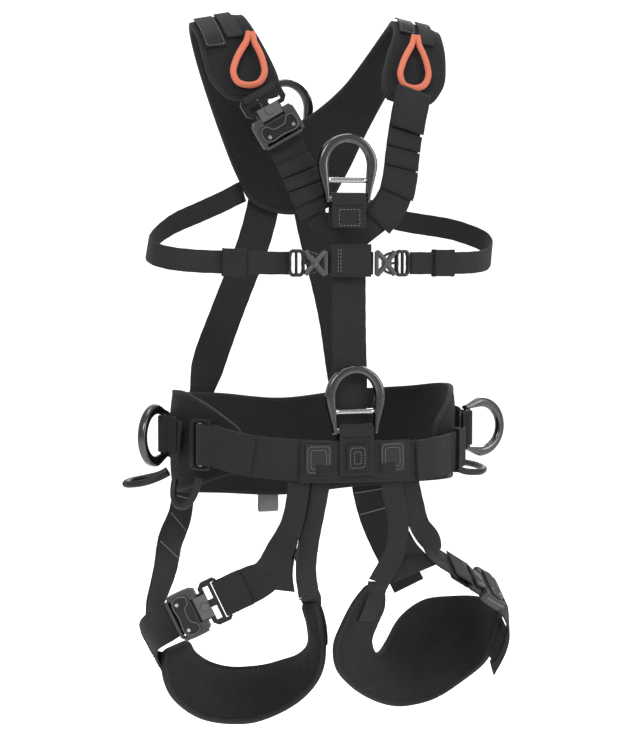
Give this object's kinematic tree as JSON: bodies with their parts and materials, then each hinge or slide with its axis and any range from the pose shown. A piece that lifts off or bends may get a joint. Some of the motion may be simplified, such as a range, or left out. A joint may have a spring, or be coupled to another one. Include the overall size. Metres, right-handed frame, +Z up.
{
  "type": "tree climbing saddle",
  "caption": "Full-body climbing saddle with padded shoulder yoke, chest strap, wide padded waist belt, leg loops, quick buckles and hinged attachment rings.",
  "frame": {"origin": "centre of the ventral ring's seat arc, where a karabiner rests", "axes": "+Z up along the wearer's body, -Y forwards, +X to the wearer's left"},
  "size_m": [0.4567, 0.278, 0.8079],
  "materials": {
    "black_rubber": "satin moulded",
    "black_webbing": "woven matt",
    "cast_grey": "satin cast",
    "coral_cord": "tight braid",
    "dark_plastic": "satin",
    "forged_alloy": "polished dark anodised",
    "grey_plastic": "satin",
    "grey_webbing": "woven",
    "label_cloth": "stitched patch",
    "pad_fabric": "mesh lined foam",
    "steel": "brushed"
  },
  "bodies": {
    "harness": {"accessory_loop": "grey_webbing", "belt_front_panel": "black_webbing", "belt_keeper_right": "black_webbing", "belt_webbing_left": "black_webbing", "belt_webbing_right": "black_webbing", "buckle_covers": "dark_plastic", "buckle_rivets": "steel", "chest_buckle_sockets": "grey_plastic", "chest_center_loop": "black_webbing", "chest_center_webbing": "black_webbing", "chest_straps": "black_webbing", "dorsal_ring_loop": "black_webbing", "front_label_patches": "label_cloth", "front_strap": "black_webbing", "gear_loops": "black_rubber", "hip_adjuster_frame": "forged_alloy", "lanyard_loop_keepers": "black_webbing", "leg_buckle_left_body": "cast_grey", "leg_buckle_right_body": "cast_grey", "leg_gussets": "black_webbing", "leg_pad_left": "pad_fabric", "leg_pad_right": "pad_fabric", "leg_risers": "black_webbing", "leg_wrap_straps": "black_webbing", "rear_leg_straps": "black_webbing", "rear_straps": "black_webbing", "ring_holders": "black_webbing", "shoulder_buckle_body": "cast_grey", "shoulder_cover_right": "black_webbing", "shoulder_labels": "label_cloth", "shoulder_strap_left": "black_webbing", "shoulder_strap_right": "black_webbing", "shoulder_yoke_pad": "pad_fabric", "sternal_gusset": "black_webbing", "sternal_ring_loop": "black_webbing", "strap_sleeves": "black_webbing", "ventral_ring_loop": "black_webbing", "waist_belt_webbing": "black_webbing", "waist_pad": "pad_fabric"},
    "ventral_ring": {"ventral_ring": "forged_alloy"},
    "sternal_ring": {"sternal_ring": "forged_alloy"},
    "dorsal_ring": {"dorsal_ring": "forged_alloy"},
    "lateral_ring_left": {"lateral_ring_left": "forged_alloy"},
    "lateral_ring_right": {"lateral_ring_right": "forged_alloy"},
    "chest_plug_left": {"chest_plug_left": "dark_plastic"},
    "chest_plug_right": {"chest_plug_right": "dark_plastic"},
    "chest_keeper_left": {"chest_keeper_left": "black_webbing"},
    "chest_keeper_right": {"chest_keeper_right": "black_webbing"},
    "lanyard_loop_left": {"lanyard_loop_left": "coral_cord"},
    "lanyard_loop_right": {"lanyard_loop_right": "coral_cord"},
    "shoulder_buckle_frame": {"shoulder_buckle_frame": "cast_grey", "shoulder_buckle_frame_loop": "black_webbing"},
    "shoulder_buckle_latch": {"shoulder_buckle_latch": "grey_plastic"},
    "leg_buckle_left_frame": {"leg_buckle_left_frame": "cast_grey", "leg_buckle_left_frame_loop": "black_webbing"},
    "leg_buckle_left_latch": {"leg_buckle_left_latch": "grey_plastic"},
    "leg_buckle_right_frame": {"leg_buckle_right_frame": "cast_grey", "leg_buckle_right_frame_loop": "black_webbing"},
    "leg_buckle_right_latch": {"leg_buckle_right_latch": "grey_plastic"},
    "hip_adjuster_bar": {"hip_adjuster_bar": "steel"}
  },
  "joints": [
    {"name": "ventral_ring_flip", "type": "hinge", "parent": "harness", "child": "ventral_ring", "pos_m": [0, 0, -0.0425], "axis": [1, 0, 0], "range_deg": [0, 130]},
    {"name": "sternal_ring_flip", "type": "hinge", "parent": "harness", "child": "sternal_ring", "pos_m": [-0.0005, 0.0225, 0.2094], "axis": [1, 0, 0], "range_deg": [0, 130]},
    {"name": "dorsal_ring_flip", "type": "hinge", "parent": "harness", "child": "dorsal_ring", "pos_m": [0, 0.228, 0.2835], "axis": [1, 0, 0], "range_deg": [-130, 0]},
    {"name": "lateral_ring_left_swing", "type": "hinge", "parent": "harness", "child": "lateral_ring_left", "pos_m": [-0.18693, 0.10363, -0.05], "axis": [0, 0, 1], "range_deg": [-95, 20]},
    {"name": "lateral_ring_right_swing", "type": "hinge", "parent": "harness", "child": "lateral_ring_right", "pos_m": [0.17702, 0.09471, -0.054], "axis": [0, 0, 1], "range_deg": [-90, 34]},
    {"name": "chest_plug_left_release", "type": "slide", "parent": "harness", "child": "chest_plug_left", "axis": [-0.9878, 0.156, 0], "range_m": [0, 0.025]},
    {"name": "chest_plug_right_release", "type": "slide", "parent": "harness", "child": "chest_plug_right", "axis": [0.9878, 0.156, 0], "range_m": [0, 0.025]},
    {"name": "chest_keeper_left_slide", "type": "slide", "parent": "harness", "child": "chest_keeper_left", "axis": [-0.9835, 0.1791, 0.027], "range_m": [-0.01, 0.01]},
    {"name": "chest_keeper_right_slide", "type": "slide", "parent": "harness", "child": "chest_keeper_right", "axis": [0.9849, 0.173, -0.008], "range_m": [-0.01, 0.01]},
    {"name": "lanyard_loop_left_lift", "type": "hinge", "parent": "harness", "child": "lanyard_loop_left", "pos_m": [-0.093, 0.07994, 0.3804], "axis": [-1, 0, 0], "range_deg": [0, 65]},
    {"name": "lanyard_loop_right_lift", "type": "hinge", "parent": "harness", "child": "lanyard_loop_right", "pos_m": [0.1049, 0.08184, 0.3835], "axis": [-1, 0, 0], "range_deg": [0, 65]},
    {"name": "shoulder_buckle_frame_pull", "type": "slide", "parent": "harness", "child": "shoulder_buckle_frame", "axis": [-0.4831, 0.12, 0.8673], "range_m": [0, 0.015]},
    {"name": "shoulder_buckle_latch_lift", "type": "hinge", "parent": "harness", "child": "shoulder_buckle_latch", "pos_m": [-0.08051, 0.04172, 0.29861], "axis": [0.8657, -0.0823, 0.4937], "range_deg": [0, 12]},
    {"name": "leg_buckle_left_frame_pull", "type": "slide", "parent": "harness", "child": "leg_buckle_left_frame", "axis": [0.8419, -0.326, 0.43], "range_m": [0, 0.015]},
    {"name": "leg_buckle_left_latch_lift", "type": "hinge", "parent": "harness", "child": "leg_buckle_left_latch", "pos_m": [-0.17748, 0.00308, -0.2298], "axis": [0.4108, -0.1293, -0.9025], "range_deg": [0, 12]},
    {"name": "leg_buckle_right_frame_pull", "type": "slide", "parent": "harness", "child": "leg_buckle_right_frame", "axis": [-0.8312, -0.2471, 0.4981], "range_m": [0, 0.015]},
    {"name": "leg_buckle_right_latch_lift", "type": "hinge", "parent": "harness", "child": "leg_buckle_right_latch", "pos_m": [0.16311, 0.01949, -0.22232], "axis": [0.0619, 0.8492, 0.5244], "range_deg": [0, 12]},
    {"name": "hip_adjuster_bar_float", "type": "slide", "parent": "harness", "child": "hip_adjuster_bar", "axis": [-0.5879, 0.8089, 0], "range_m": [-0.001, 0.001]}
  ]
}
